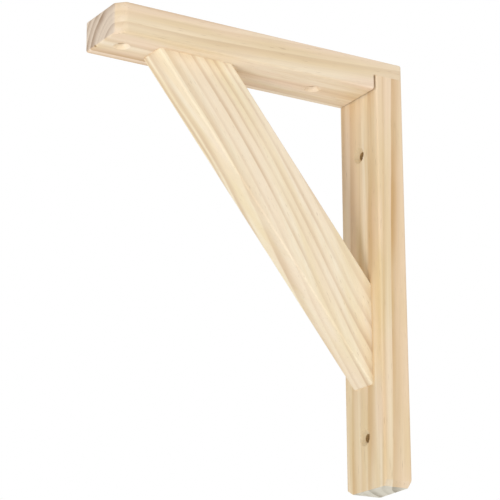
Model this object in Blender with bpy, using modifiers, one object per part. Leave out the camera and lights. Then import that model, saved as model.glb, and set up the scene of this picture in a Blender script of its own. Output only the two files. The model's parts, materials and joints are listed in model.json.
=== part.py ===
"""Timber shelf bracket of three pine battens: an arm, an upright and a brace.

Metres, +Z up. The wall is the plane Y = 0, the arm reaches towards -Y, and X runs across the
bracket from its left side to its right side, with its middle at X = 0. The origin lies on the
upright's back face, halfway between the two wall screws.
"""

import math

import bmesh
import bpy
from mathutils import Vector

# Stock: all three pieces come from one planed batten
STOCK_WIDTH = 0.045
STOCK_THICK = 0.022
EDGE_RADIUS = 0.0016
EDGE_STEPS = 3

# Overall sizes
HEIGHT = 0.300
REACH = 0.225

# Joint of the arm and the upright: a tongue of the arm lies over the upright
TONGUE_THICK = 0.0112
SHOULDER_GAP = 0.0020

# Clearance between pieces that touch
TOUCH_GAP = 0.0003

# Brace: its inner edge meets the arm and the upright this far from their inside corner
BRACE_OUT = 0.109
BRACE_DOWN = 0.1365

# Countersunk screw holes
BORE_DIAMETER = 0.0060
HEAD_DIAMETER = 0.0115
HOLE_SIDES = 32
UPPER_WALL_SCREW = 0.042
LOWER_WALL_SCREW = 0.036
REAR_SHELF_SCREW = 0.038
FRONT_SHELF_SCREW = 0.015

# Ends: the arm's right front edge is cut off, and a few strokes on a sander take off the edges
# of the upright's foot. "In" is how far a stroke reaches into the end face, "up" is how far it
# reaches up the side that it starts from
NOSE_CUT = 0.0062
LEFT_STROKE_IN = 0.0070
LEFT_STROKE_UP = 0.0040
RIGHT_STROKE_IN = 0.0012
RIGHT_STROKE_UP = 0.0045
WALL_STROKE_IN = 0.0032
WALL_STROKE_UP = 0.0067

# Cutters reach this far past the faces that they open, and the upright is planed this much
# longer at each end before it is sawn off
OVERCUT = 0.004
END_WASTE = 0.003

# Places that follow from the sizes, measured from the arm's top and then from the origin
UPPER_WALL_SCREW_DROP = STOCK_THICK + UPPER_WALL_SCREW
LOWER_WALL_SCREW_DROP = HEIGHT - LOWER_WALL_SCREW
TOP_Z = (UPPER_WALL_SCREW_DROP + LOWER_WALL_SCREW_DROP) / 2
FOOT_Z = TOP_Z - HEIGHT
UNDERSIDE_Z = TOP_Z - STOCK_THICK
TONGUE_Z = TOP_Z - TONGUE_THICK
UPRIGHT_TOP_Z = TONGUE_Z - TOUCH_GAP
UPRIGHT_FRONT_Y = -STOCK_THICK
SHOULDER_Y = UPRIGHT_FRONT_Y - SHOULDER_GAP
NOSE_Y = -REACH


def clear_scene():
    """Remove whatever the opened file holds, so that each run starts empty."""
    for thing in list(bpy.data.objects):
        bpy.data.objects.remove(thing, do_unlink=True)
    for group in list(bpy.data.collections):
        bpy.data.collections.remove(group)


def new_collection(name):
    group = bpy.data.collections.new(name)
    bpy.context.scene.collection.children.link(group)
    return group


def pine_material(name, colour):
    """Bare planed pine: pale, dry and nearly matt."""
    wood = bpy.data.materials.new(name)
    wood.use_nodes = True
    shader = wood.node_tree.nodes["Principled BSDF"]
    shader.inputs["Base Color"].default_value = (*colour, 1.0)
    shader.inputs["Roughness"].default_value = 0.62
    shader.inputs["Metallic"].default_value = 0.0
    wood.diffuse_color = (*colour, 1.0)
    return wood


def move_to(thing, group):
    for old in list(thing.users_collection):
        old.objects.unlink(thing)
    group.objects.link(thing)


def box(name, low, high, group):
    """A box between two corners, with its size in its mesh and its place in its location."""
    centre = [(a + b) / 2 for a, b in zip(low, high)]
    size = [b - a for a, b in zip(low, high)]
    bpy.ops.mesh.primitive_cube_add(size=1.0, location=centre)
    thing = bpy.context.object
    thing.name = name
    thing.data.name = name
    thing.scale = size
    bpy.ops.object.transform_apply(location=False, rotation=False, scale=True)
    move_to(thing, group)
    return thing


def ease_edges(piece):
    """The rounding that planing leaves on every edge of the batten."""
    rounding = piece.modifiers.new("planed edges", "BEVEL")
    rounding.width = EDGE_RADIUS
    rounding.segments = EDGE_STEPS
    rounding.limit_method = "ANGLE"
    rounding.angle_limit = math.radians(30)
    rounding.use_clamp_overlap = True


def hide_cutter(cutter):
    cutter.display_type = "WIRE"
    cutter.hide_render = True


def cut(piece, cutter):
    sawing = piece.modifiers.new("cut " + cutter.name, "BOOLEAN")
    sawing.operation = "DIFFERENCE"
    sawing.solver = "EXACT"
    sawing.object = cutter
    hide_cutter(cutter)


def screw_hole(name, place, turn_about_x, group):
    """Cutter for a countersunk hole: its own +Z leaves the wood at the head's side."""
    bore = BORE_DIAMETER / 2
    head = HEAD_DIAMETER / 2
    end = -(STOCK_THICK + OVERCUT)
    outline = [
        (0.0, OVERCUT),
        (head + OVERCUT, OVERCUT),
        (bore, bore - head),
        (bore, end),
        (0.0, end),
    ]
    mesh = bpy.data.meshes.new(name)
    points = [(x, 0.0, z) for x, z in outline]
    edges = [(i, i + 1) for i in range(len(points) - 1)]
    mesh.from_pydata(points, edges, [])
    cutter = bpy.data.objects.new(name, mesh)
    group.objects.link(cutter)
    cutter.location = place
    cutter.rotation_euler = (turn_about_x, 0.0, 0.0)
    turning = cutter.modifiers.new("turned", "SCREW")
    turning.axis = "Z"
    turning.steps = HOLE_SIDES
    turning.render_steps = HOLE_SIDES
    turning.use_merge_vertices = True
    turning.merge_threshold = 0.00001
    return cutter


def finish_piece(piece, material):
    """Give the piece its wood, and shade its rounded edges and holes smooth."""
    piece.data.materials.append(material)
    piece.data.shade_smooth()
    piece.data.set_sharp_from_angle(angle=math.radians(35))


def build_arm(parts, cutters):
    """The batten under the shelf, rebated at its back end to sit on the upright."""
    half = STOCK_WIDTH / 2
    arm = box("arm", (-half, NOSE_Y, UNDERSIDE_Z), (half, 0.0, TOP_Z), parts)

    # The right-hand vertical edge of the front end is cut off at 45 degrees
    shape = bmesh.new()
    shape.from_mesh(arm.data)
    nose_edges = []
    for edge in shape.edges:
        ends = [vertex.co for vertex in edge.verts]
        if all(point.x > 0 and point.y < 0 for point in ends):
            nose_edges.append(edge)
    bmesh.ops.bevel(shape, geom=nose_edges, offset=NOSE_CUT, segments=1, affect="EDGES")
    shape.to_mesh(arm.data)
    shape.free()

    ease_edges(arm)

    # Shelf screws go up from below, on the arm's middle line
    rear_y = UPRIGHT_FRONT_Y - REAR_SHELF_SCREW
    front_y = NOSE_Y + FRONT_SHELF_SCREW
    for name, y in (("rear shelf hole", rear_y), ("front shelf hole", front_y)):
        cut(arm, screw_hole(name, (0.0, y, UNDERSIDE_Z), math.pi, cutters))

    # Rebate: what is left over it is the tongue that lies on the upright's end grain
    rebate = box(
        "rebate cutter",
        (-half - OVERCUT, SHOULDER_Y, UNDERSIDE_Z - OVERCUT),
        (half + OVERCUT, OVERCUT, TONGUE_Z),
        cutters,
    )
    cut(arm, rebate)
    finish_piece(arm, pine_material("pine arm", (0.80, 0.66, 0.47)))


def flat_cutter(name, start, outwards, group):
    """A block that takes away all that lies outwards of a flat through its starting point."""
    reach = STOCK_WIDTH
    cutter = box(name, (-reach, -reach, -reach), (reach, reach, reach), group)
    cutter.rotation_euler = outwards.to_track_quat("Z", "Y").to_euler()
    cutter.location = start + outwards * reach
    return cutter


def build_upright(parts, cutters):
    """The batten on the wall, from the underside of the tongue down to the foot.

    It is planed longer than needed, and both ends are then sawn off, so their edges are sharp.
    """
    half = STOCK_WIDTH / 2
    upright = box(
        "upright",
        (-half, UPRIGHT_FRONT_Y, FOOT_Z - END_WASTE),
        (half, 0.0, UPRIGHT_TOP_Z + END_WASTE),
        parts,
    )
    ease_edges(upright)
    middle_y = UPRIGHT_FRONT_Y / 2
    for name, z, way in (("top saw", UPRIGHT_TOP_Z, 1.0), ("foot saw", FOOT_Z, -1.0)):
        start = Vector((0.0, middle_y, z))
        cut(upright, flat_cutter(name, start, Vector((0.0, 0.0, way)), cutters))

    # Foot: each stroke is a flat through three points. The one on the wall side starts at the
    # left stroke's edge and gets deeper to the right
    front = UPRIGHT_FRONT_Y
    strokes = {
        "left stroke": (
            (-half, front, FOOT_Z + LEFT_STROKE_UP),
            (-half, 0.0, FOOT_Z + LEFT_STROKE_UP),
            (-half + LEFT_STROKE_IN, front, FOOT_Z),
        ),
        "right stroke": (
            (half, front, FOOT_Z + RIGHT_STROKE_UP),
            (half, 0.0, FOOT_Z + RIGHT_STROKE_UP),
            (half - RIGHT_STROKE_IN, front, FOOT_Z),
        ),
        "wall stroke": (
            (half, 0.0, FOOT_Z + WALL_STROKE_UP),
            (half, -WALL_STROKE_IN, FOOT_Z),
            (-half + LEFT_STROKE_IN, 0.0, FOOT_Z),
        ),
    }
    for name, points in strokes.items():
        first, second, third = [Vector(point) for point in points]
        downwards = (second - first).cross(third - first).normalized()
        if downwards.z > 0:
            downwards.negate()
        cut(upright, flat_cutter(name, first, downwards, cutters))

    # Wall screws go in from the front, on the upright's middle line
    upper_z = TOP_Z - UPPER_WALL_SCREW_DROP
    lower_z = TOP_Z - LOWER_WALL_SCREW_DROP
    for name, z in (("upper wall hole", upper_z), ("lower wall hole", lower_z)):
        place = (0.0, UPRIGHT_FRONT_Y, z)
        cut(upright, screw_hole(name, place, math.pi / 2, cutters))
    finish_piece(upright, pine_material("pine upright", (0.78, 0.62, 0.43)))


def build_brace(parts, cutters):
    """The sloping batten, set on edge in the middle of the arm and the upright.

    It is laid along its slope longer than needed, and both ends are then sawn to the arm's
    underside and to the upright's front face.
    """
    slope = math.atan2(BRACE_DOWN, BRACE_OUT)
    inner_length = math.hypot(BRACE_OUT, BRACE_DOWN)
    end_waste = STOCK_WIDTH * (math.tan(slope) + 1 / math.tan(slope)) + OVERCUT
    half_length = inner_length / 2 + end_waste
    half_thick = STOCK_THICK / 2
    half_width = STOCK_WIDTH / 2
    brace = box(
        "brace",
        (-half_thick, -half_length, -half_width),
        (half_thick, half_length, half_width),
        parts,
    )
    ease_edges(brace)

    # The middle of the inner edge, moved half a batten outwards, is the brace's centre
    inner_y = UPRIGHT_FRONT_Y - BRACE_OUT / 2
    inner_z = UNDERSIDE_Z - BRACE_DOWN / 2
    brace.rotation_euler = (-slope, 0.0, 0.0)
    brace.location = (
        0.0,
        inner_y - half_width * math.sin(slope),
        inner_z - half_width * math.cos(slope),
    )

    # Saw cuts: everything above the arm's underside and behind the upright's front face
    reach = 2 * half_length
    arm_cut_z = UNDERSIDE_Z - TOUCH_GAP
    upright_cut_y = UPRIGHT_FRONT_Y - TOUCH_GAP
    arm_saw = box(
        "brace top saw cutter",
        (-half_width, inner_y - reach, arm_cut_z),
        (half_width, inner_y + reach, arm_cut_z + reach),
        cutters,
    )
    upright_saw = box(
        "brace foot saw cutter",
        (-half_width, upright_cut_y, inner_z - reach),
        (half_width, upright_cut_y + reach, inner_z + reach),
        cutters,
    )
    cut(brace, arm_saw)
    cut(brace, upright_saw)
    finish_piece(brace, pine_material("pine brace", (0.84, 0.71, 0.52)))


def main():
    clear_scene()
    parts = new_collection("shelf bracket")
    cutters = new_collection("cutters")
    build_arm(parts, cutters)
    build_upright(parts, cutters)
    build_brace(parts, cutters)


main()
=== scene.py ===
# %% [markdown]
# A wooden shelf bracket, dressed in Blender.
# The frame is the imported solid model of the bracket: an arm that carries the shelf, an upright
# that is screwed to the wall, and a sloping brace between them. This lesson shapes each batten
# again with softer, slightly worn edges, and gives it the growth rings, end grain and fibres of
# planed pine. Everything is in metres, in the frame's own axes: the wall is the plane Y = 0, the
# arm reaches towards -Y, and Z is up.

# %% Load the frame
import json
import math

import bpy
from mathutils import Euler, Matrix, Vector


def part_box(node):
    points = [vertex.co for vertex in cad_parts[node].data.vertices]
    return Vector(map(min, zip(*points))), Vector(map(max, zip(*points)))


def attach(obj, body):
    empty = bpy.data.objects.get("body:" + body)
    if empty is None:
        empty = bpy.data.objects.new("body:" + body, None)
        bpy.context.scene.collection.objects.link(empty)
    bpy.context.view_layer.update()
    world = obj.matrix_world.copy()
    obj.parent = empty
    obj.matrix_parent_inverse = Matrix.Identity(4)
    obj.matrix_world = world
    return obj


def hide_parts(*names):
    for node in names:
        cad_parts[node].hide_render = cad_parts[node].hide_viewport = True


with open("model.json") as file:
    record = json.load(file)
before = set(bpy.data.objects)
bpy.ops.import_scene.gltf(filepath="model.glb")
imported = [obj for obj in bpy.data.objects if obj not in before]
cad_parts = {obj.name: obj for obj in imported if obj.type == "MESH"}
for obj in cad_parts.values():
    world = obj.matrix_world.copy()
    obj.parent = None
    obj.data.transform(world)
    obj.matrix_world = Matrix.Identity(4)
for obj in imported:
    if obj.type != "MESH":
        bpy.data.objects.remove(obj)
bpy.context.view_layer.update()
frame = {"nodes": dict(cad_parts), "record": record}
MM = 0.001
print("nodes:", ", ".join(sorted(frame["nodes"])))

# %% [markdown]
# The camera. A long lens far away keeps the battens' edges nearly parallel, as in a catalogue
# picture. It stands in front of the bracket, to the right, and looks up at it from below, so the
# arm's underside shows. A camera's place could be typed in as numbers, but a turn, a tilt and a
# distance from the point it looks at say more about the view.

# %% Camera
PICTURE_WIDTH = 500
FOCUS_IN_PIXELS = 2200
SENSOR_WIDTH = 36.0
VIEW_TURN = math.radians(58.23)
VIEW_TILT = math.radians(17.11)
VIEW_ROLL = math.radians(-0.31)
VIEW_DISTANCE = 1.468
VIEW_AIM = Vector((-0.0063, -0.1076, 0.0196))

camera_data = bpy.data.cameras.new("camera")
camera_data.sensor_width = SENSOR_WIDTH
camera_data.lens = FOCUS_IN_PIXELS * SENSOR_WIDTH / PICTURE_WIDTH
camera = bpy.data.objects.new("camera", camera_data)
bpy.context.scene.collection.objects.link(camera)
facing = Euler((math.pi / 2 + VIEW_TILT, 0.0, VIEW_TURN)).to_matrix()
facing = facing @ Matrix.Rotation(VIEW_ROLL, 3, "Z")
camera.location = VIEW_AIM + facing @ Vector((0.0, 0.0, VIEW_DISTANCE))
camera.rotation_euler = facing.to_euler()
bpy.context.scene.camera = camera
print("lens in mm:", round(camera_data.lens, 1))
print("camera at:", [round(c, 3) for c in camera.location])

# %% [markdown]
# Small helpers. Wood colours are given as sRGB hex values, but Blender's shaders count in
# linear light, so one function turns the first into the second. Another adds a shader node with
# its settings and its links, which keeps a long node tree as short as a list.

# %% Helpers for colours and nodes
SRGB_KNEE = 0.04045


def linear(hex_colour):
    """An sRGB hex colour, such as "d8b078", as linear red, green, blue and alpha."""
    shares = [int(hex_colour[i : i + 2], 16) / 255 for i in (0, 2, 4)]
    light = [s / 12.92 if s <= SRGB_KNEE else ((s + 0.055) / 1.055) ** 2.4 for s in shares]
    return (*light, 1.0)


def node(tree, kind, settings=None, links=None):
    """Add a node. Settings are its properties. Links feed its inputs with a value, with an
    output, or with another node, which then gives its first output."""
    made = tree.nodes.new("ShaderNode" + kind)
    for name, value in (settings or {}).items():
        setattr(made, name, value)
    for name, value in (links or {}).items():
        if isinstance(value, bpy.types.Node):
            value = value.outputs[0]
        if isinstance(value, bpy.types.NodeSocket):
            tree.links.new(value, made.inputs[name])
        else:
            made.inputs[name].default_value = value
    return made


print("half grey in linear light:", round(linear("808080")[0], 3))

# %% [markdown]
# The studio's air. The real picture is nearly shadowless, on white. So the world is white all
# round. The camera sees it at full strength, but it lights the bracket with less than half of
# that, which leaves room for lamps to shape the wood. A Light Path node tells the two apart. It
# sits in the world and not in a material, so nothing on the bracket depends on it.

# %% White air
ROOM_LIGHT = 0.44

scene = bpy.context.scene
scene.view_settings.view_transform = "Standard"
world = bpy.data.worlds.new("white studio")
world.use_nodes = True
scene.world = world
air = world.node_tree
air.nodes.clear()
seen = node(air, "LightPath")
strength = node(
    air,
    "MapRange",
    links={"Value": seen.outputs["Is Camera Ray"], "To Min": ROOM_LIGHT, "To Max": 1.0},
)
white = node(air, "Background", links={"Color": (1, 1, 1, 1), "Strength": strength})
node(air, "OutputWorld", links={"Surface": white})
print("room light:", ROOM_LIGHT)

# %% [markdown]
# The lamps. One wide lamp lights the bracket's right side. A smaller one, low and in front, gives
# the soft brown shadows that the brace throws on the upright and the arm. A last one, behind on
# the left, is for the other views: it reaches no face that this camera sees. Each lamp is placed
# by its direction and distance from the bracket, as a photographer would say it. An overhead
# light with very soft edges keeps the floor pale.

# %% Lamps
OVERHEAD_LIGHT = 1.05
OVERHEAD_SOFTNESS = math.radians(70)


def soft_lamp(name, azimuth, elevation, distance, size, watts):
    """A square lamp that faces the bracket. Azimuth 0 is in front, 90 on the right."""
    turn, rise = math.radians(azimuth), math.radians(elevation)
    away = Vector(
        (math.sin(turn) * math.cos(rise), -math.cos(turn) * math.cos(rise), math.sin(rise))
    )
    data = bpy.data.lights.new(name, "AREA")
    data.size = size
    data.energy = watts
    lamp = bpy.data.objects.new(name, data)
    scene.collection.objects.link(lamp)
    lamp.location = VIEW_AIM + away * distance
    lamp.rotation_euler = away.to_track_quat("Z", "Y").to_euler()
    lamp.visible_camera = False


soft_lamp("right lamp", azimuth=100, elevation=10, distance=1.6, size=1.4, watts=7.9)
soft_lamp("low front lamp", azimuth=22, elevation=-14, distance=1.2, size=0.35, watts=5.0)
soft_lamp("back lamp", azimuth=245, elevation=15, distance=1.6, size=1.4, watts=7.0)

overhead_data = bpy.data.lights.new("overhead light", "SUN")
overhead_data.energy = OVERHEAD_LIGHT
overhead_data.angle = OVERHEAD_SOFTNESS
overhead = bpy.data.objects.new("overhead light", overhead_data)
scene.collection.objects.link(overhead)
print("lamps:", ", ".join(light.name for light in bpy.data.lights))

# %% [markdown]
# The floor. It lies below the camera, because this bracket is seen from below. It is painted
# matt, and pale enough to look like the white behind the real bracket.

# %% Floor
FLOOR_Z = -1.1
FLOOR_SIZE = 16.0
FLOOR_COLOUR = "f6f5f3"
FLOOR_ROUGHNESS = 0.9

bpy.ops.object.select_all(action="DESELECT")
bpy.ops.mesh.primitive_plane_add(size=FLOOR_SIZE, location=(0, 0, FLOOR_Z))
floor = bpy.context.object
floor.name = "floor"
floor_paint = bpy.data.materials.new("pale matt floor paint")
floor_paint.use_nodes = True
floor_shader = floor_paint.node_tree.nodes["Principled BSDF"]
floor_shader.inputs["Base Color"].default_value = linear(FLOOR_COLOUR)
floor_shader.inputs["Roughness"].default_value = FLOOR_ROUGHNESS
floor.data.materials.append(floor_paint)
print("floor at", FLOOR_Z, "m, camera at", round(camera.location.z, 3), "m")

# %% [markdown]
# Measures. All three pieces come from one planed batten, and the solid model already knows its
# section, its lengths and the places of its screw holes. So they are read from the frame, and
# only what a box can't tell is written here: how far the edges are eased, how much is cut off
# the arm's front corner, how wide the gap in the joint is, and how deep each stroke of the sander
# went at the foot. "In" is how far a stroke reaches into the end face, "up" how far up the side.

# %% Measures from the frame
EDGE_RADIUS = 1.6 * MM
EDGE_SEGMENTS = 6
NOSE_CUT = 6.2 * MM
SHOULDER_GAP, GAP_AT_LEFT = 2.0 * MM, 0.4 * MM
GLUE_LINE = 0.02 * MM
LEFT_STROKE_IN, LEFT_STROKE_UP = 7.0 * MM, 4.0 * MM
RIGHT_STROKE_IN, RIGHT_STROKE_UP = 1.2 * MM, 4.5 * MM
WALL_STROKE_IN, WALL_STROKE_UP = 3.2 * MM, 6.7 * MM
BORE_RADIUS = 3.0 * MM
SINK_RADIUS = 5.75 * MM
OVERCUT = 4.0 * MM

arm_low, arm_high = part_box("arm")
upright_low, upright_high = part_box("upright")
brace_low, brace_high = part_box("brace")
STOCK_WIDTH = arm_high.x - arm_low.x
STOCK_THICK = arm_high.z - arm_low.z
BRACE_SLOPE = math.atan2(brace_high.z - brace_low.z, brace_high.y - brace_low.y)
holes = {}
for opening in frame["record"]["physics"]["openings"]:
    if opening["name"].endswith("screw_hole"):
        low, high = [Vector(corner) for corner in opening["box_m"]]
        holes[opening["name"]] = (low + high) / 2
print("batten in mm:", round(STOCK_WIDTH / MM, 1), "x", round(STOCK_THICK / MM, 1))
print("brace slope in degrees:", round(math.degrees(BRACE_SLOPE), 1))
print("holes:", ", ".join(holes))

# %% [markdown]
# Picking by place. In Blender's window you would click the edges to bevel. A script has no mouse,
# so it ticks the corners, edges or faces that pass a test while the piece is in object mode, and
# then the edit mode operators work on that choice. Everything else is unticked first, because an
# operator acts on all that is selected.

# %% Helpers for picking
def choose(piece):
    """Make the piece the only selected and the active object."""
    bpy.ops.object.select_all(action="DESELECT")
    piece.select_set(True)
    bpy.context.view_layer.objects.active = piece


def edit(piece, kind, wanted):
    """Open edit mode with only the corners, edges or faces selected that pass the test."""
    choose(piece)
    mesh = piece.data
    groups = {"VERT": mesh.vertices, "EDGE": mesh.edges, "FACE": mesh.polygons}
    for group in groups.values():
        group.foreach_set("select", [False] * len(group))
    bpy.context.tool_settings.mesh_select_mode = [name == kind for name in groups]
    for item in groups[kind]:
        item.select = wanted(item)
    bpy.ops.object.mode_set(mode="EDIT")


def done():
    """Leave edit mode, which keeps what was done there."""
    bpy.ops.object.mode_set(mode="OBJECT")


def ends(piece, edge):
    """Where an edge starts and where it stops."""
    return [piece.data.vertices[corner].co for corner in edge.vertices]


# %% [markdown]
# A joiner's tools. The real battens are sawn and planed stock, so each helper here is one job at
# the bench: laying out a batten, rounding its edges, cutting a shape out of it, and sawing it off.
# A batten starts as a cube of its size and place. Its edges are bevelled with several segments,
# because the planer's cutters leave them round. A saw cut is a bisect with the cut filled, and
# only what is sunk into the wood, such as a hole, needs a Boolean modifier.

# %% Helpers for joinery
SHARP = math.radians(30)
SAME_PLACE = 0.00001


def batten(name, low, high, turn=0.0):
    """A block between two corners, turned about X through its centre, placed in its mesh."""
    centre = (low + high) / 2
    bpy.ops.object.select_all(action="DESELECT")
    bpy.ops.mesh.primitive_cube_add(size=1.0, location=centre, rotation=(turn, 0.0, 0.0))
    piece = bpy.context.object
    piece.name = name
    piece.scale = high - low
    bpy.ops.object.transform_apply(location=True, rotation=True, scale=True)
    return piece


def round_chosen():
    """Round the chosen edges, as the planer's cutters do, and leave edit mode."""
    bpy.ops.mesh.bevel(offset=EDGE_RADIUS, segments=EDGE_SEGMENTS, profile=0.5, affect="EDGES")
    done()


def ease_edges(piece):
    """Round every sharp edge of the piece."""
    edit(piece, "EDGE", lambda edge: False)
    bpy.ops.mesh.edges_select_sharp(sharpness=SHARP)
    round_chosen()


def cut_away(piece, cutter):
    """Take the cutter's shape out of the piece, and remove the cutter."""
    choose(piece)
    cutting = piece.modifiers.new("cut", "BOOLEAN")
    cutting.operation = "DIFFERENCE"
    cutting.solver = "EXACT"
    cutting.object = cutter
    bpy.ops.object.modifier_apply(modifier=cutting.name)
    bpy.data.objects.remove(cutter, do_unlink=True)


def saw(piece, point, normal):
    """Saw the piece off at a plane. What lies on the normal's side falls away."""
    edit(piece, "FACE", lambda face: True)
    bpy.ops.mesh.bisect(
        plane_co=point,
        plane_no=normal,
        use_fill=True,
        clear_outer=True,
        threshold=SAME_PLACE,
    )
    done()


print("edges eased by", round(EDGE_RADIUS / MM, 1), "mm in", EDGE_SEGMENTS, "segments")

# %% [markdown]
# Countersunk screw holes. The drill leaves a narrow bore, and the countersink leaves a cone for
# the screw's head. The cutter starts as a cylinder as long as the batten is thick. Its outer end
# is extruded and scaled up to a cone, so one shape takes out both in one go. Pine tears where a
# countersink cuts across its fibres, so the cone's wide end is shaken a little before it cuts,
# which leaves a rim that isn't a perfect circle.

# %% A cutter for one screw hole
HOLE_SIDES = 48
RIM_TEARS = 0.7 * MM
FACING = 0.9


def drill(piece, mouth, outwards, seed):
    """Cut a countersunk hole into the piece. The mouth is the middle of the cone's rim."""
    turn = outwards.to_track_quat("Z", "Y").to_euler()
    cone_depth = SINK_RADIUS - BORE_RADIUS
    length = STOCK_THICK + OVERCUT - cone_depth
    bottom_to_middle = outwards * (cone_depth + length / 2)
    bpy.ops.object.select_all(action="DESELECT")
    bpy.ops.mesh.primitive_cylinder_add(
        vertices=HOLE_SIDES,
        radius=BORE_RADIUS,
        depth=length,
        location=mouth - bottom_to_middle,
        rotation=turn,
    )
    cutter = bpy.context.object
    bpy.ops.object.transform_apply(location=True, rotation=True, scale=True)
    edit(cutter, "FACE", lambda face: face.normal.dot(outwards) > FACING)
    bpy.ops.mesh.extrude_region_move(
        TRANSFORM_OT_translate={"value": outwards * (cone_depth + OVERCUT)}
    )
    wide = (SINK_RADIUS + OVERCUT) / BORE_RADIUS
    bpy.ops.transform.resize(value=(wide, wide, wide), center_override=mouth + outwards * OVERCUT)
    bpy.ops.transform.vertex_random(offset=RIM_TEARS, seed=seed)
    done()
    cut_away(piece, cutter)


print("cone depth in mm:", round((SINK_RADIUS - BORE_RADIUS) / MM, 2))

# %% [markdown]
# The arm. It is the batten that the shelf lies on. Its front end is sawn square, its right-hand
# front corner is cut off at 45 degrees, and its back end is rebated: the tongue that is left lies
# on the upright, and its shoulder stops just before it. That saw cut wasn't quite square, so the
# gap is 2 mm wide on the right and nearly closed on the left. The corner is a bevel with one
# segment, which is what a saw leaves, while the eased edges are bevels with several segments. The
# rebate comes after the rounding, because it is sawn out of the planed batten, so its own edges
# stay sharp. Its cutter reaches past the batten on every open side, which keeps the cut clean.

# %% Arm
arm = batten("arm_timber", arm_low, arm_high)
edit(
    arm,
    "EDGE",
    lambda edge: all(end.x > 0 and end.y < arm_low.y + MM for end in ends(arm, edge)),
)
bpy.ops.mesh.bevel(offset=NOSE_CUT, segments=1, affect="EDGES")
done()
ease_edges(arm)
for seed, name in enumerate(("rear_shelf_screw_hole", "front_shelf_screw_hole")):
    drill(arm, Vector((0.0, holes[name].y, arm_low.z)), Vector((0.0, 0.0, -1.0)), seed)

rebate_low = Vector((arm_low.x - OVERCUT, upright_low.y - SHOULDER_GAP, arm_low.z - OVERCUT))
rebate_high = Vector((arm_high.x + OVERCUT, arm_high.y + OVERCUT, upright_high.z + GLUE_LINE))
rebate = batten("rebate cutter", rebate_low, rebate_high)
edit(rebate, "VERT", lambda corner: corner.co.x < 0 and corner.co.y < upright_low.y)
bpy.ops.transform.translate(value=(0.0, SHOULDER_GAP - GAP_AT_LEFT, 0.0))
done()
cut_away(arm, rebate)
print("arm faces:", len(arm.data.polygons))

# %% [markdown]
# The upright. It hangs on the wall by its two screws. Its four long edges are planed round, but
# its top is a plain saw cut, because the tongue sits tight on it. The foot was touched on a belt
# sander by hand, and no two strokes are alike: each leaves a flat, given here by three points
# that it passes through, and the saw helper takes off what lies below it. These edges stay crisp,
# which tells them from the planed ones.

# %% Upright
upright = batten("upright_timber", upright_low, upright_high)
edit(
    upright,
    "EDGE",
    lambda edge: abs(ends(upright, edge)[0].z - ends(upright, edge)[1].z) > MM,
)
round_chosen()

left, front, foot = upright_low
right, wall = upright_high.x, upright_high.y
strokes = (
    (
        (left, front, foot + LEFT_STROKE_UP),
        (left, wall, foot + LEFT_STROKE_UP),
        (left + LEFT_STROKE_IN, front, foot),
    ),
    (
        (right, front, foot + RIGHT_STROKE_UP),
        (right, wall, foot + RIGHT_STROKE_UP),
        (right - RIGHT_STROKE_IN, front, foot),
    ),
    (
        (right, wall, foot + WALL_STROKE_UP),
        (right, wall - WALL_STROKE_IN, foot),
        (left + LEFT_STROKE_IN, wall, foot),
    ),
)
for stroke in strokes:
    first, second, third = [Vector(point) for point in stroke]
    downwards = (second - first).cross(third - first).normalized()
    if downwards.z > 0:
        downwards.negate()
    saw(upright, first, downwards)
for seed, name in enumerate(("upper_wall_screw_hole", "lower_wall_screw_hole"), start=2):
    drill(upright, Vector((0.0, upright_low.y, holes[name].z)), Vector((0.0, -1.0, 0.0)), seed)
print("upright faces:", len(upright.data.polygons))

# %% [markdown]
# The brace. It is the same batten set on edge, so its narrow side faces the arm and the upright.
# A long block is laid along the slope first, and its two ends are then sawn off where it meets
# them, as a carpenter would do with a batten and a mitre saw. That is why it starts too long.

# %% Brace
inner_middle = (brace_low + brace_high) / 2
across = Vector((0.0, -math.sin(BRACE_SLOPE), -math.cos(BRACE_SLOPE)))
brace_middle = inner_middle - across * STOCK_WIDTH / 2
brace_length = math.hypot(*(brace_high - brace_low).yz)
spare = Vector((STOCK_THICK, brace_length, STOCK_WIDTH)) / 2
brace = batten("brace_timber", brace_middle - spare, brace_middle + spare, turn=-BRACE_SLOPE)
ease_edges(brace)
saw(brace, Vector((0.0, 0.0, arm_low.z - GLUE_LINE)), Vector((0.0, 0.0, 1.0)))
saw(brace, Vector((0.0, upright_low.y - GLUE_LINE, 0.0)), Vector((0.0, 1.0, 0.0)))
print("brace faces:", len(brace.data.polygons))

# %% [markdown]
# Slicing for the finish. A long flat face has corners only at its ends, so nothing on it can be
# uneven, and smooth shading smears over it. Each piece is sliced across its length every few
# millimetres, which adds corners without changing the shape, and then the shading is told to
# follow the large faces, so that the flats stay flat and only the rounded edges look round.

# %% Slices and shading
SLICE = 4.0 * MM
ROUND = math.radians(20)
FULL_WEIGHT = 100


def slice_along(piece, direction):
    """Cut new edges across the piece, without parting it, every few millimetres."""
    reaches = [direction.dot(corner.co) for corner in piece.data.vertices]
    first, last = min(reaches), max(reaches)
    count = int((last - first) / SLICE)
    edit(piece, "FACE", lambda face: True)
    for i in range(1, count):
        bpy.ops.mesh.select_all(action="SELECT")
        bpy.ops.mesh.bisect(
            plane_co=direction * (first + (last - first) * i / count),
            plane_no=direction,
            threshold=SAME_PLACE,
        )
    done()


def shade(piece):
    """Round edges look round, and flats look flat."""
    choose(piece)
    bpy.ops.object.shade_smooth_by_angle(angle=ROUND)
    flats = piece.modifiers.new("flats", "WEIGHTED_NORMAL")
    flats.keep_sharp = True
    flats.weight = FULL_WEIGHT
    bpy.ops.object.modifier_apply(modifier=flats.name)


slope_down = Vector((0.0, math.cos(BRACE_SLOPE), -math.sin(BRACE_SLOPE)))
for piece, direction in (
    (arm, Vector((0.0, 1.0, 0.0))),
    (upright, Vector((0.0, 0.0, 1.0))),
    (brace, slope_down),
):
    slice_along(piece, direction)
    shade(piece)
    print(piece.name, "faces:", len(piece.data.polygons))

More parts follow.
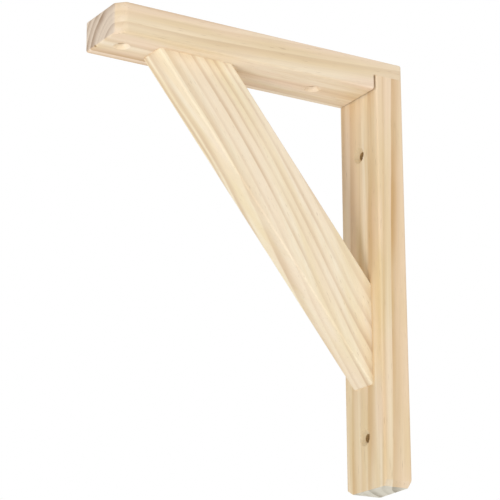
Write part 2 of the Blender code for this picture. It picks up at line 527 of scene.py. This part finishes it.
# %% [markdown]
# Pine, first step: the log. A batten is a slice out of a log, so its pattern isn't painted on: it
# is the cut through rings that run round the log's core, the pith. A Mapping node turns every
# point of the batten into millimetres across and along the log, so the rings run straight along
# a face, curve across the sawn ends and meet at the edges, as in the real thing. A tree is never
# a perfect cylinder. So the log may slant against the batten, and swing aside along its length,
# as above a branch.

# %% The log
SWING_START, SWING_END = 20.0, 360.0
SMOOTH = {"interpolation_type": "SMOOTHSTEP"}


def in_the_log(tree, log):
    """The place of each point in its log, in millimetres: X and Y across it, Z along it."""
    straight = node(
        tree,
        "Mapping",
        {"vector_type": "TEXTURE"},
        {
            "Vector": node(tree, "TexCoord").outputs["Object"],
            "Location": log["pith"] * MM,
            "Rotation": log["lean"],
            "Scale": (MM, MM, MM),
        },
    )
    along = node(tree, "SeparateXYZ", links={0: straight}).outputs["Z"]
    slant = node(tree, "VectorMath", {"operation": "SCALE"}, {0: log["slant"], "Scale": along})
    swung = node(
        tree,
        "MapRange",
        SMOOTH,
        {"Value": along, "From Min": SWING_START, "From Max": SWING_END},
    )
    swing = node(tree, "VectorMath", {"operation": "SCALE"}, {0: log["swing"], "Scale": swung})
    leant = node(tree, "VectorMath", {"operation": "ADD"}, {0: slant, 1: swing})
    return node(tree, "VectorMath", {"operation": "ADD"}, {0: straight, 1: leant})


print("a log swings aside between", SWING_START, "and", SWING_END, "mm along it")

# %% [markdown]
# Pine, second step: wander. The rings of a real log are nowhere quite round, so a soft noise
# moves each point aside by a millimetre or so. A 4D noise has a fourth coordinate, W, that serves
# as its seed. Each pattern adds its own number to the log's seed, so no two of them are alike.
# Sizes are given per millimetre, twice across the log and then along it, because all that grows
# in wood is stretched along its grain: one bend is 29 mm wide and 125 mm long.

# %% Wander
WANDER = 3.4
BENDS_PER_MM = (0.035, 0.035, 0.008)
SEEDED = {"noise_dimensions": "4D"}
BENDS, PATCHES, BANDS, STREAKS, FIBRES, CANALS = range(6)


def wandering(tree, place, seed):
    """The place in the log, moved aside a little."""
    coarse = node(tree, "Mapping", links={"Vector": place, "Scale": BENDS_PER_MM})
    sway = node(
        tree,
        "TexNoise",
        SEEDED,
        {"Vector": coarse, "W": seed + BENDS, "Scale": 1.0, "Detail": 3.0},
    )
    shake = node(
        tree,
        "VectorMath",
        {"operation": "SUBTRACT"},
        {0: sway.outputs["Color"], 1: (0.5, 0.5, 0.5)},
    )
    return node(
        tree,
        "VectorMath",
        {"operation": "MULTIPLY_ADD"},
        {0: shake, 1: (WANDER, WANDER, 0.0), 2: place},
    )


print("a bend in mm:", [round(1 / share) for share in BENDS_PER_MM[1:]])

# %% [markdown]
# Pine, third step: the years. In spring the tree grows pale, wide cells. They get smaller and
# browner through the summer, and in winter the ring ends sharply. So a ring is a slow rise and a
# sudden fall, and no two years are alike. A wave texture would make them all the same. A colour
# ramp on the distance from the pith lets each year have its own place, width and depth, as if
# read off the end of the board.

# %% Growth rings
LOG_RADIUS = 120.0
WINTER = 0.6
NO_SUMMER = (0.0, 0.0, 0.0, 1.0)


def growth_rings(tree, grown, years):
    """How much summer wood there is at each point, from 0 to 1."""
    flat = node(tree, "VectorMath", {"operation": "MULTIPLY"}, {0: grown, 1: (1.0, 1.0, 0.0)})
    radius = node(tree, "VectorMath", {"operation": "LENGTH"}, {0: flat}).outputs["Value"]
    share = node(tree, "Math", {"operation": "DIVIDE"}, {0: radius, 1: LOG_RADIUS})
    ramp = node(tree, "ValToRGB", links={0: share})
    record = ramp.color_ramp
    record.interpolation = "EASE"
    for stop in record.elements:
        stop.color = NO_SUMMER
    for end, width, depth in years:
        for at, amount in ((end - width, 0.0), (end, depth), (end + WINTER, 0.0)):
            stop = record.elements.new(at / LOG_RADIUS)
            stop.color = (amount, amount, amount, 1.0)
    return ramp


print("a ring ends within", WINTER, "mm")

# %% [markdown]
# Pine, fourth step: uneven rings. No ring is equally dark all along a batten. Where the tree grew
# slowly, its summer wood is thin and pale. One soft noise, in patches 17 mm wide and 90 mm long,
# makes the rings fade and darken again. The same noise later tints the spring wood, so that the
# two changes go together, as they do in a tree.

# %% Fading rings
PATCHES_PER_MM = (0.06, 0.06, 0.011)


def patches(tree, grown, seed):
    """Slow changes along the batten."""
    spread = node(tree, "Mapping", links={"Vector": grown, "Scale": PATCHES_PER_MM})
    return node(
        tree,
        "TexNoise",
        SEEDED,
        {"Vector": spread, "W": seed + PATCHES, "Scale": 1.0, "Detail": 2.0},
    )


def faded(tree, rings, patchy):
    """The rings, paler in some places than in others."""
    fade = node(
        tree,
        "MapRange",
        links={
            "Value": patchy,
            "From Min": 0.3,
            "From Max": 0.65,
            "To Min": 0.35,
            "To Max": 1.0,
        },
    )
    return node(tree, "Math", {"operation": "MULTIPLY"}, {0: rings, 1: fade})


print("a patch in mm:", [round(1 / share) for share in PATCHES_PER_MM[1:]])

# %% [markdown]
# Pine, fifth step: colour along the grain. Spring wood is cream. Tan bands some 11 mm wide run
# the whole length of a batten, and streaks of 2 to 3 mm end after a hand's breadth. A faint pink
# lies over it in patches, and the summer wood comes last and covers all of them. So four Mix
# nodes stand in a row, each laying one colour over what is there. A Mix node has sockets for each
# kind of data and shows only those in use, so the ones for colours are named here by number.

# %% Colour along the grain
BANDS_PER_MM = (0.09, 0.09, 0.004)
STREAKS_PER_MM = (0.42, 0.42, 0.009)
IN_COLOUR = {"data_type": "RGBA"}
AMOUNT, UNDER, OVER = 0, 6, 7
MIXED = 2


def along_the_grain(tree, grown, summer, patchy, paint, seed):
    """The colour of a face that was cut along the log."""
    wide = node(tree, "Mapping", links={"Vector": grown, "Scale": BANDS_PER_MM})
    bands = node(
        tree,
        "TexNoise",
        SEEDED,
        {"Vector": wide, "W": seed + BANDS, "Scale": 1.0, "Detail": 1.0},
    )
    banded = node(
        tree,
        "MapRange",
        SMOOTH,
        {"Value": bands, "From Min": 0.38, "From Max": 0.64, "To Max": 0.9},
    )
    narrow = node(tree, "Mapping", links={"Vector": grown, "Scale": STREAKS_PER_MM})
    streaks = node(
        tree,
        "TexNoise",
        SEEDED,
        {"Vector": narrow, "W": seed + STREAKS, "Scale": 1.0, "Detail": 2.5},
    )
    streaked = node(
        tree,
        "MapRange",
        SMOOTH,
        {"Value": streaks, "From Min": 0.42, "From Max": 0.72, "To Max": 0.55},
    )
    tint = patchy.outputs["Color"]
    blush = node(
        tree,
        "MapRange",
        links={"Value": tint, "From Min": 0.45, "From Max": 0.6, "To Max": 0.7},
    )
    colour = paint["spring"]
    layers = ((banded, "tan"), (streaked, "tan"), (blush, "pink"), (summer, "summer"))
    for amount, part in layers:
        layer = node(tree, "Mix", IN_COLOUR, {AMOUNT: amount, UNDER: colour, OVER: paint[part]})
        colour = layer.outputs[MIXED]
    return colour


print("a band in mm:", [round(1 / share) for share in BANDS_PER_MM[1:]])
print("a streak in mm:", [round(1 / share, 1) for share in STREAKS_PER_MM[1:]])

# %% [markdown]
# Pine, sixth step: the sawn ends. A saw cut across the log opens its cells like a bundle of
# straws. They look greyer, the rings are arcs, and thin rays run out from the pith. The rays
# follow the bearing of a point round the pith, so a one-dimensional noise is enough. Real rays
# are finer than a hair. They are drawn half a millimetre wide, 30 mm from the pith, because finer
# ones wouldn't show. Whether a face is sawn or planed needs no mask: how squarely it looks along
# the log tells it.

# %% Colour of the sawn ends
RAYS_PER_RADIAN = 55.0


def across_the_grain(tree, grown, summer, paint):
    """The colour of a sawn end: arcs, and rays that run out from the pith."""
    split = node(tree, "SeparateXYZ", links={0: grown})
    bearing = node(
        tree, "Math", {"operation": "ARCTAN2"}, {0: split.outputs["Y"], 1: split.outputs["X"]}
    )
    fan = node(tree, "Math", {"operation": "MULTIPLY"}, {0: bearing, 1: RAYS_PER_RADIAN})
    rays = node(
        tree, "TexNoise", {"noise_dimensions": "1D"}, {"W": fan, "Scale": 1.0, "Detail": 2.0}
    )
    rayed = node(
        tree,
        "MapRange",
        links={
            "Value": rays,
            "From Min": 0.25,
            "From Max": 0.75,
            "To Min": 0.93,
            "To Max": 1.05,
        },
    )
    arcs = node(
        tree, "Mix", IN_COLOUR, {AMOUNT: summer, UNDER: paint["end"], OVER: paint["end_summer"]}
    ).outputs[MIXED]
    return node(tree, "VectorMath", {"operation": "SCALE"}, {0: arcs, "Scale": rayed})


def looks_along(tree, log):
    """0 on a face that was planed along the log, 1 on one that was sawn across it."""
    core = Euler(log["lean"]).to_matrix() @ Vector((0.0, 0.0, 1.0))
    normal = node(tree, "TexCoord").outputs["Normal"]
    towards = node(tree, "VectorMath", {"operation": "DOT_PRODUCT"}, {0: normal, 1: core})
    squarely = node(tree, "Math", {"operation": "ABSOLUTE"}, {0: towards.outputs["Value"]})
    return node(
        tree, "MapRange", SMOOTH, {"Value": squarely, "From Min": 0.76, "From Max": 0.95}
    )


print("a ray in mm, 30 mm from the pith:", round(30 / RAYS_PER_RADIAN, 2))

# %% [markdown]
# Pine, seventh step: fibres. Planed pine has a fine, silky grain. Its real fibres are a few
# hundredths of a millimetre wide, too fine for the picture, so they are drawn as bundles 0.7 mm
# wide and 33 mm long, the finest that still show. They serve twice: they darken and lighten the
# colour a little, and they are the ribs of the relief.

# %% Fibres
FIBRES_PER_MM = (1.4, 1.4, 0.03)


def fine_fibres(tree, grown, seed):
    """Bundles of fibres along the grain."""
    thin = node(tree, "Mapping", links={"Vector": grown, "Scale": FIBRES_PER_MM})
    return node(
        tree,
        "TexNoise",
        SEEDED,
        {
            "Vector": thin,
            "W": seed + FIBRES,
            "Scale": 1.0,
            "Detail": 3.0,
            "Roughness": 0.6,
        },
    )


print("a bundle of fibres in mm:", [round(1 / share, 1) for share in FIBRES_PER_MM[1:]])

# %% [markdown]
# Pine, eighth step: resin. A pine is full of resin canals, and where the plane cuts along one it
# leaves a short brown dash. The dashes are the peaks of a noise that is all but cut off. They are
# drawn 0.5 mm wide, about twice as wide as real ones, because finer ones wouldn't show. Each log
# also has one small pocket of resin, a dark spot at a place of its own, which fades out over its
# rim.

# %% Resin
CANALS_PER_MM = (1.9, 1.9, 0.10)
POCKET_RADIUS = 1.8 * MM


def with_resin(tree, grown, log, colour, paint):
    """The colour, with short dashes where canals are cut, and the log's one pocket of resin."""
    short = node(tree, "Mapping", links={"Vector": grown, "Scale": CANALS_PER_MM})
    canals = node(
        tree,
        "TexNoise",
        SEEDED,
        {"Vector": short, "W": log["seed"] + CANALS, "Scale": 1.0, "Detail": 0.0},
    )
    dashes = node(
        tree,
        "MapRange",
        links={"Value": canals, "From Min": 0.72, "From Max": 0.82, "To Max": 0.35},
    )
    away = node(
        tree,
        "VectorMath",
        {"operation": "DISTANCE"},
        {0: node(tree, "TexCoord").outputs["Object"], 1: log["pocket"] * MM},
    ).outputs["Value"]
    pocket = node(
        tree,
        "MapRange",
        SMOOTH,
        {
            "Value": away,
            "From Min": 0.4 * POCKET_RADIUS,
            "From Max": POCKET_RADIUS,
            "To Min": 0.85,
            "To Max": 0.0,
        },
    )
    for amount in (dashes, pocket):
        layer = node(
            tree, "Mix", IN_COLOUR, {AMOUNT: amount, UNDER: colour, OVER: paint["resin"]}
        )
        colour = layer.outputs[MIXED]
    return colour


print("a resin canal in mm:", [round(1 / share, 1) for share in CANALS_PER_MM[1:]])

# %% [markdown]
# Pine, ninth step: gloss and relief. Planed pine is dry and nearly matt, with a roughness
# between 0.56 and 0.74 from fibre to fibre. Its summer wood is denser, so the planer polishes it
# a little and leaves it standing a few hundredths of a millimetre proud. A sawn end is rougher
# than both. Relief this fine is a bump and needs no geometry. Wood has no metal in it, and bends
# light much as other plant matter does, so its IOR is the usual 1.5.

# %% Gloss and relief
WOOD_IOR = 1.5
SMOOTHEST, ROUGHEST = 0.56, 0.74
SUMMER_POLISH = -0.10
SAWN_ROUGHER = 0.16
SUMMER_PROUD = 0.6
FIBRE_HEIGHT = 0.05 * MM
BUMP_STRENGTH = 0.6


def surface(tree, shader, summer, fibres, sawn, relief):
    """Give the shader its roughness, its bump and its IOR."""
    dry = node(
        tree,
        "MapRange",
        links={
            "Value": fibres,
            "From Min": 0.2,
            "From Max": 0.8,
            "To Min": SMOOTHEST,
            "To Max": ROUGHEST,
        },
    )
    polished = node(
        tree, "Math", {"operation": "MULTIPLY_ADD"}, {0: summer, 1: SUMMER_POLISH, 2: dry}
    )
    rough = node(
        tree, "Math", {"operation": "MULTIPLY_ADD"}, {0: sawn, 1: SAWN_ROUGHER, 2: polished}
    )
    height = node(
        tree, "Math", {"operation": "MULTIPLY_ADD"}, {0: summer, 1: SUMMER_PROUD, 2: fibres}
    )
    bump = node(
        tree,
        "Bump",
        links={"Strength": BUMP_STRENGTH, "Distance": FIBRE_HEIGHT * relief, "Height": height},
    )
    tree.links.new(rough.outputs[0], shader.inputs["Roughness"])
    tree.links.new(bump.outputs[0], shader.inputs["Normal"])
    shader.inputs["IOR"].default_value = WOOD_IOR


print("roughness of planed pine:", SMOOTHEST, "to", ROUGHEST)

# %% [markdown]
# Pine, last step: all of it together. The recipe reads like the list above. The colour of a point
# is that of a planed or of a sawn face, whichever it is on, then the fibres darken and lighten it
# by a few hundredths, and the resin comes on top.

# %% Bare pine
def pine(name, log, colours, relief=1.0):
    """Bare pine, cut from a log. Relief above 1 makes the surface coarser than planed wood."""
    wood = bpy.data.materials.new(name)
    wood.use_nodes = True
    tree = wood.node_tree
    shader = tree.nodes["Principled BSDF"]
    paint = {part: linear(colour) for part, colour in colours.items()}
    seed = log["seed"]

    grown = wandering(tree, in_the_log(tree, log), seed)
    patchy = patches(tree, grown, seed)
    summer = faded(tree, growth_rings(tree, grown, log["years"]), patchy)
    fibres = fine_fibres(tree, grown, seed)
    sawn = looks_along(tree, log)

    planed_colour = along_the_grain(tree, grown, summer, patchy, paint, seed)
    sawn_colour = across_the_grain(tree, grown, summer, paint)
    bare = node(
        tree, "Mix", IN_COLOUR, {AMOUNT: sawn, UNDER: planed_colour, OVER: sawn_colour}
    ).outputs[MIXED]
    grain = node(
        tree,
        "MapRange",
        links={
            "Value": fibres,
            "From Min": 0.25,
            "From Max": 0.75,
            "To Min": 0.955,
            "To Max": 1.035,
        },
    )
    fibrous = node(tree, "VectorMath", {"operation": "SCALE"}, {0: bare, "Scale": grain})
    finished = with_resin(tree, grown, log, fibrous, paint)
    tree.links.new(finished, shader.inputs["Base Color"])
    surface(tree, shader, summer, fibres, sawn, relief)
    return wood


print("seeded patterns in each wood:", CANALS + 1)

# %% [markdown]
# Three battens, three logs. Where the pith lies is read off the ends: the arcs on the arm's front
# end close round a point 13 mm below its underside, near its right side, so the arm was cut close
# to the core. The rings at the upright's foot are nearly straight, and the brace's faces show
# slanting lines, so those two come from further out. "Pith" is a point of the core and "lean" is
# how the core is turned, both in the frame, and "pocket" is the place of the resin spot, also in
# millimetres. "Slant" is how far the core moves aside in each millimetre, and "swing" how far in
# all. Each year is given by where it ends, how wide its summer wood is, both in millimetres from
# the pith, and how dark it gets.

# %% Logs and years
QUARTER = math.pi / 2
ARM_LOG = {
    "seed": 3.0,
    "pith": Vector((19.0, -225.0, 128.8)),
    "lean": (-QUARTER, 0.0, 0.0),
    "slant": (0.0, 0.0, 0.0),
    "swing": (0.0, 16.0, 0.0),
    "pocket": Vector((-9.6, -225.0, 142.0)),
    "years": (
        (9.0, 2.5, 0.15),
        (14.5, 2.5, 0.15),
        (20.5, 4.5, 0.50),
        (24.5, 2.5, 0.12),
        (28.6, 3.0, 0.25),
        (37.4, 8.0, 1.00),
        (43.7, 5.6, 0.90),
        (49.5, 4.5, 0.60),
        (56.0, 3.0, 0.40),
    ),
}
UPRIGHT_LOG = {
    "seed": 7.0,
    "pith": Vector((44.0, 27.0, -136.0)),
    "lean": (0.0, 0.0, 0.0),
    "slant": (0.0, -0.023, 0.0),
    "swing": (0.0, 0.0, 0.0),
    "pocket": Vector((-22.5, -9.0, -60.0)),
    "years": (
        (36.5, 1.5, 0.15),
        (47.8, 9.0, 0.85),
        (54.5, 4.0, 0.30),
        (63.5, 6.0, 0.75),
        (69.5, 3.0, 0.25),
        (77.0, 6.5, 0.45),
        (84.0, 4.5, 0.42),
    ),
}
BRACE_LOG = {
    "seed": 11.0,
    "pith": Vector((33.8, -94.9, 170.8)),
    "lean": (-QUARTER - BRACE_SLOPE, 0.0, 0.0),
    "slant": (-0.12, -0.045, 0.0),
    "swing": (0.0, -46.0, 0.0),
    "pocket": Vector((-11.0, -90.0, 75.0)),
    "years": (
        (51.0, 3.0, 0.55),
        (56.8, 2.5, 0.65),
        (62.8, 3.0, 0.75),
        (67.9, 2.5, 0.60),
        (75.0, 3.5, 0.75),
        (83.0, 3.0, 0.35),
        (91.0, 7.2, 0.70),
        (98.2, 3.0, 0.90),
        (100.3, 1.4, 0.90),
        (102.7, 1.7, 1.00),
    ),
}
for solid, log in (("arm", ARM_LOG), ("upright", UPRIGHT_LOG), ("brace", BRACE_LOG)):
    print("years in the", solid + ":", len(log["years"]))

# %% [markdown]
# Colours. The arm is pale and plain, the upright more honey-coloured, and the brace the palest,
# with greyer rings. Where a tool went across the grain, the wood looks different. The wall
# screws' bores are brown, which is painted shade for the dark inside of a narrow hole, and their
# countersinks are duller. The shelf screws' holes are paler, which is a painted highlight for the
# lit far wall of each countersink, and the sanded foot is dusty and greyer. So each of them is
# the batten's own log in other colours, which keeps the rings running through.

# %% Colours
ARM_COLOURS = {
    "spring": "f4e4cb",
    "tan": "e5cea8",
    "pink": "f0d6be",
    "summer": "cdac82",
    "end": "e6d4c0",
    "end_summer": "9c7c60",
    "resin": "9a7446",
}
UPRIGHT_COLOURS = {
    "spring": "f3e2c5",
    "tan": "e3c99b",
    "pink": "f1d6b8",
    "summer": "c69a5c",
    "end": "e2d2b8",
    "end_summer": "a98a62",
    "resin": "a07c50",
}
BRACE_COLOURS = {
    "spring": "f7ebd2",
    "tan": "efddb8",
    "pink": "f3e0c6",
    "summer": "d0b28e",
    "end": "e9d8c0",
    "end_summer": "b09474",
    "resin": "ab8c64",
}
# The arm's holes are paler: a painted highlight for the lit far wall of each countersink
HOLE_HIGHLIGHT_COLOURS = dict(ARM_COLOURS, spring="f8e9d2", tan="f3ddba", pink="f6e2cc", end="f7e9d7")
COUNTERSUNK = dict(UPRIGHT_COLOURS, spring="e9d9ba", tan="dcc49a", pink="e3cfae", end="e6d5b2")
# The bores' brown is painted shade for the dark inside of each narrow bore
BORE_SHADE_COLOURS = {part: "c4a472" for part in UPRIGHT_COLOURS}
DUSTY = dict(UPRIGHT_COLOURS, spring="ecdfc6", tan="e2cfae", end="dfdacb", end_summer="867a60")
print("colours of each wood:", ", ".join(ARM_COLOURS))

# %% [markdown]
# The materials. All of them are bare pine, and each is named for what was done to its surface,
# and the arm's holes and the upright's bores also for their painted highlight and painted shade.
# The tool also sets the relief: a plane leaves the smoothest wood, then come the sander, the
# drill and the countersink, which tears the fibres most.

# %% Materials
# Planed: flat, dry and silky, so that every ring shows and the light slides evenly along it
arm_pine = pine("planed pine, arm", ARM_LOG, ARM_COLOURS)
upright_pine = pine("planed pine, upright", UPRIGHT_LOG, UPRIGHT_COLOURS)
brace_pine = pine("planed pine, brace", BRACE_LOG, BRACE_COLOURS)
# Drilled with a sharp bit: walls that look a little furry. Their paler colour is a painted
# highlight for the lit far wall of each countersink
arm_holes_with_painted_highlight = pine("painted highlight on drilled pine, arm", ARM_LOG, HOLE_HIGHLIGHT_COLOURS, relief=3.0)
# Countersunk: a duller, rougher cone, in which the grain shows as short steps
upright_cones = pine("countersunk pine, upright", UPRIGHT_LOG, COUNTERSUNK, relief=5.0)
# Bores: a brown wall with no rings, painted shade for the dark inside, so it reads as a dark spot
upright_bores_in_painted_shade = pine("painted shade on drilled pine, bores", UPRIGHT_LOG, BORE_SHADE_COLOURS, relief=3.0)
# Sanded: dust in the open cells makes the flats greyer and takes off their gloss
upright_foot = pine("sanded pine, foot", UPRIGHT_LOG, DUSTY, relief=2.0)
print("materials:", [m.name for m in bpy.data.materials if "pine," in m.name])

# %% [markdown]
# Which face gets which wood. A hole's faces are those near its middle line that don't lie in the
# batten's own face, and the sanded foot is every face of the upright that looks down.

# %% Woods on the faces
RIM_MARGIN = MM
BORE_MARGIN = 0.1 * MM
LOOKS_DOWN = -0.1
CONE_WOOD, BORE_WOOD, FOOT_WOOD = 1, 2, 3


def in_a_hole(face, outwards, mouths):
    """CONE_WOOD for a face of a countersink, BORE_WOOD for one of a bore, 0 for any other."""
    if abs(face.normal.dot(outwards)) > FACING:
        return 0
    aside = min((face.center - mouth).cross(outwards).length for mouth in mouths)
    if aside > SINK_RADIUS + RIM_MARGIN:
        return 0
    return BORE_WOOD if aside < BORE_RADIUS + BORE_MARGIN else CONE_WOOD


arm_mouths = [holes["rear_shelf_screw_hole"], holes["front_shelf_screw_hole"]]
wall_mouths = [holes["upper_wall_screw_hole"], holes["lower_wall_screw_hole"]]
for piece, woods in (
    (arm, (arm_pine, arm_holes_with_painted_highlight)),
    (upright, (upright_pine, upright_cones, upright_bores_in_painted_shade, upright_foot)),
    (brace, (brace_pine,)),
):
    piece.data.materials.clear()
    for wood in woods:
        piece.data.materials.append(wood)
# The arm's holes carry a painted highlight, and the upright's bores painted shade
for face in arm.data.polygons:
    hole = in_a_hole(face, Vector((0.0, 0.0, 1.0)), arm_mouths)
    face.material_index = min(CONE_WOOD, hole)
for face in upright.data.polygons:
    face.material_index = in_a_hole(face, Vector((0.0, 1.0, 0.0)), wall_mouths)
    if face.normal.z < LOOKS_DOWN and face.center.z < upright_low.z + WALL_STROKE_UP:
        face.material_index = FOOT_WOOD
print("bore faces:", sum(face.material_index == BORE_WOOD for face in upright.data.polygons))

# %% [markdown]
# The last step says which solid each timber stands for. All three ride on the same body, because
# nothing on this bracket moves.

# %% Places in the frame
for piece, solid in ((arm, "arm"), (upright, "upright"), (brace, "brace")):
    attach(piece, "root")
    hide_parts(solid)
    print(piece.name, "stands for", solid)
